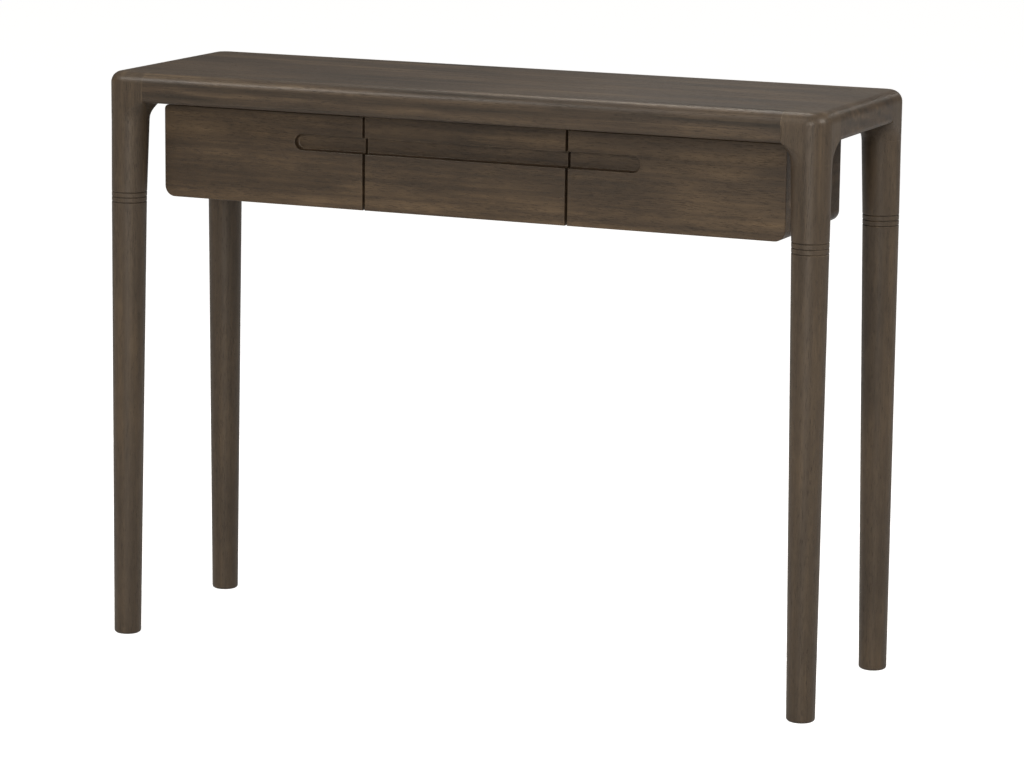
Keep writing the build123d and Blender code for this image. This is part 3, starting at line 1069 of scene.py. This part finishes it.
@dataclass
class SoftBox:
    """A soft rectangular studio light."""

    name: str
    place: tuple[float, float, float]
    aim: tuple[float, float, float]
    width: float
    height: float
    power: float
    warmth: tuple[float, float, float] = (1.0, 0.955, 0.89)

    def build(self) -> None:
        """Hang the light and turn it to its aim."""
        lamp = bpy.data.lights.new(self.name, "AREA")
        lamp.color = self.warmth
        lamp.shape = "RECTANGLE"
        lamp.size = self.width
        lamp.size_y = self.height
        lamp.energy = self.power
        holder = bpy.data.objects.new(self.name, lamp)
        bpy.context.scene.collection.objects.link(holder)
        holder.location = self.place
        facing = Vector(self.aim) - Vector(self.place)
        holder.rotation_euler = facing.to_track_quat("-Z", "Y").to_euler()


@dataclass
class Studio:
    """Camera, pale floor, soft lights and an even surrounding glow."""

    azimuth: float = math.radians(25.65)
    elevation: float = math.radians(11.0)
    roll: float = math.radians(0.312)
    distance: float = 5.275
    aim_x: float = -0.1484
    aim_z: float = 0.3651
    lens: float = 132.57
    sensor: float = 36.0
    shift: float = 0.1094
    floor_reach: float = 60.0
    floor_shade: Colour = (0.42, 0.42, 0.42, 1.0)
    floor_glow: float = 0.86
    floor_bounce: float = 0.34
    horizon_glow: Colour = (0.10, 0.097, 0.092, 1.0)
    overhead_glow: Colour = (0.44, 0.425, 0.40, 1.0)
    backdrop: Colour = (1.0, 1.0, 1.0, 1.0)

    def build(self) -> None:
        """Set up the whole studio."""
        self.add_camera()
        self.add_floor()
        self.add_glow()
        for box in (
            SoftBox("top_softbox", (-0.45, 0.9, 3.0), (0.0, 0.0, 0.7), 0.6, 1.8, 30.0),
            SoftBox("left_kicker", (-1.75, -2.1, 3.0), (-0.5, 0.0, 0.7), 0.6, 0.8, 72.0),
            SoftBox("front_key", (1.3, -4.7, 1.9), (0.1, 0.0, 0.3), 1.8, 2.0, 198.0),
            SoftBox("back_panel", (-0.6, 3.3, 1.5), (0.35, 0.0, 0.8), 1.2, 1.0, 1.4),
            SoftBox("back_glint", (1.25, 3.3, 2.3), (0.5, 0.0, 0.8), 0.5, 0.5, 7.0),
            SoftBox("side_fill", (3.0, -0.4, 2.4), (0.3, 0.0, 0.6), 1.4, 1.4, 92.0),
        ):
            box.build()
        settings = bpy.context.scene.view_settings
        settings.view_transform = "Standard"
        settings.look = "None"

    def add_camera(self) -> None:
        """Place the camera on its bearing round the table, with its small roll."""
        back = Vector((
            math.sin(self.azimuth) * math.cos(self.elevation),
            -math.cos(self.azimuth) * math.cos(self.elevation),
            math.sin(self.elevation),
        ))
        lens = bpy.data.cameras.new("studio_camera")
        lens.lens = self.lens
        lens.sensor_width = self.sensor
        lens.shift_x = self.shift
        lens.clip_end = 200.0
        camera = bpy.data.objects.new("studio_camera", lens)
        bpy.context.scene.collection.objects.link(camera)
        camera.location = Vector((self.aim_x, 0.0, self.aim_z)) + back * self.distance
        turned = back.to_track_quat("Z", "Y").to_matrix().to_4x4()
        rolled = turned @ Euler((0.0, 0.0, self.roll)).to_matrix().to_4x4()
        camera.rotation_euler = rolled.to_euler()
        bpy.context.scene.camera = camera

    def add_floor(self) -> None:
        """Lay a wide pale floor."""
        reach = self.floor_reach
        mesh = bpy.data.meshes.new("floor")
        corners = [(-reach, -reach, 0), (reach, -reach, 0), (reach, reach, 0), (-reach, reach, 0)]
        mesh.from_pydata(corners, [], [(0, 1, 2, 3)])
        floor = bpy.data.objects.new("floor", mesh)
        bpy.context.scene.collection.objects.link(floor)
        material, web, shader = new_material("pale_floor")
        web.feed(shader.inputs["Base Color"], self.floor_shade)
        web.feed(shader.inputs["Roughness"], 0.9)
        web.feed(shader.inputs["Specular IOR Level"], 0.1)
        web.feed(shader.inputs["Emission Color"], (1.0, 1.0, 1.0, 1.0))
        seen = web.add("ShaderNodeLightPath").outputs["Is Camera Ray"]
        glow = web.maths("MULTIPLY_ADD", seen, self.floor_glow - self.floor_bounce, self.floor_bounce)
        web.feed(shader.inputs["Emission Strength"], glow)
        mesh.materials.append(material)

    def add_glow(self) -> None:
        """Surround the studio with a glow that is dim near the horizon and bright overhead."""
        world = bpy.data.worlds.new("studio_glow")
        bpy.context.scene.world = world
        world.use_nodes = True
        web = Web(world.node_tree)
        direction = web.add("ShaderNodeTexCoord").outputs["Generated"]
        split = web.add("ShaderNodeSeparateXYZ")
        web.feed(split.inputs["Vector"], direction)
        height = web.spread(split.outputs["Z"], 0.25, 0.95)
        glow = web.blend(height, self.horizon_glow, self.overhead_glow)
        seen = web.add("ShaderNodeLightPath").outputs["Is Camera Ray"]
        shown = web.blend(seen, glow, self.backdrop)
        background = web.add("ShaderNodeBackground")
        web.feed(background.inputs["Color"], shown)
        web.feed(background.inputs["Strength"], 1.0)
        output = web.add("ShaderNodeOutputWorld")
        web.feed(output.inputs["Surface"], background.outputs["Background"])


def main() -> None:
    """Build the studio and every sub-assembly in order."""
    logging.basicConfig(level=logging.INFO, format="%(name)s: %(message)s")
    for assembly in (Studio(), TableTop(), Legs(), DrawerCase(), Drawers(), Fixings()):
        assembly.build()


if __name__ == "__main__":
    main()
